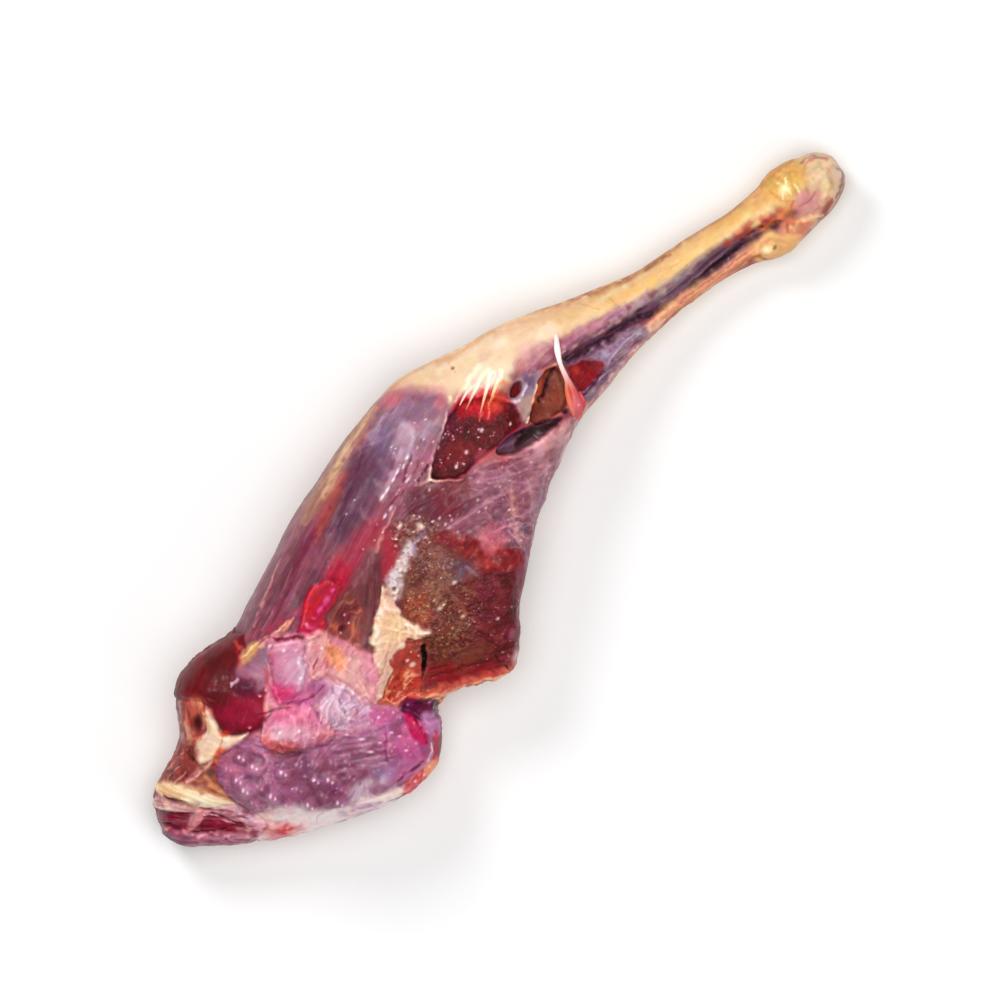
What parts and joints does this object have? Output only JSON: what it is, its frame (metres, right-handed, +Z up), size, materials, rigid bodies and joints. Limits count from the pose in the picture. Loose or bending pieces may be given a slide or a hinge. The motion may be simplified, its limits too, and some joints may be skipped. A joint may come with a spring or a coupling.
{
  "type": "mutton leg",
  "caption": "Raw leg of mutton with the shank and hock on, lying on its outer side: a broad uneven haunch of meat, fat and silverskin that tapers to a bony shank.",
  "frame": {"origin": "on the table, at the middle of the leg's outline seen from above", "axes": "+X from the hip end to the hock, +Y towards the shin and kneecap, +Z up from the table out of the inner side of the leg"},
  "size_m": [0.5338, 0.1711, 0.0819],
  "materials": {
    "meat": "moist raw meat, dark red to brown and purple, with cream fat and a thin glossy silverskin"
  },
  "bodies": {
    "root": {"leg": "meat"}
  },
  "joints": []
}
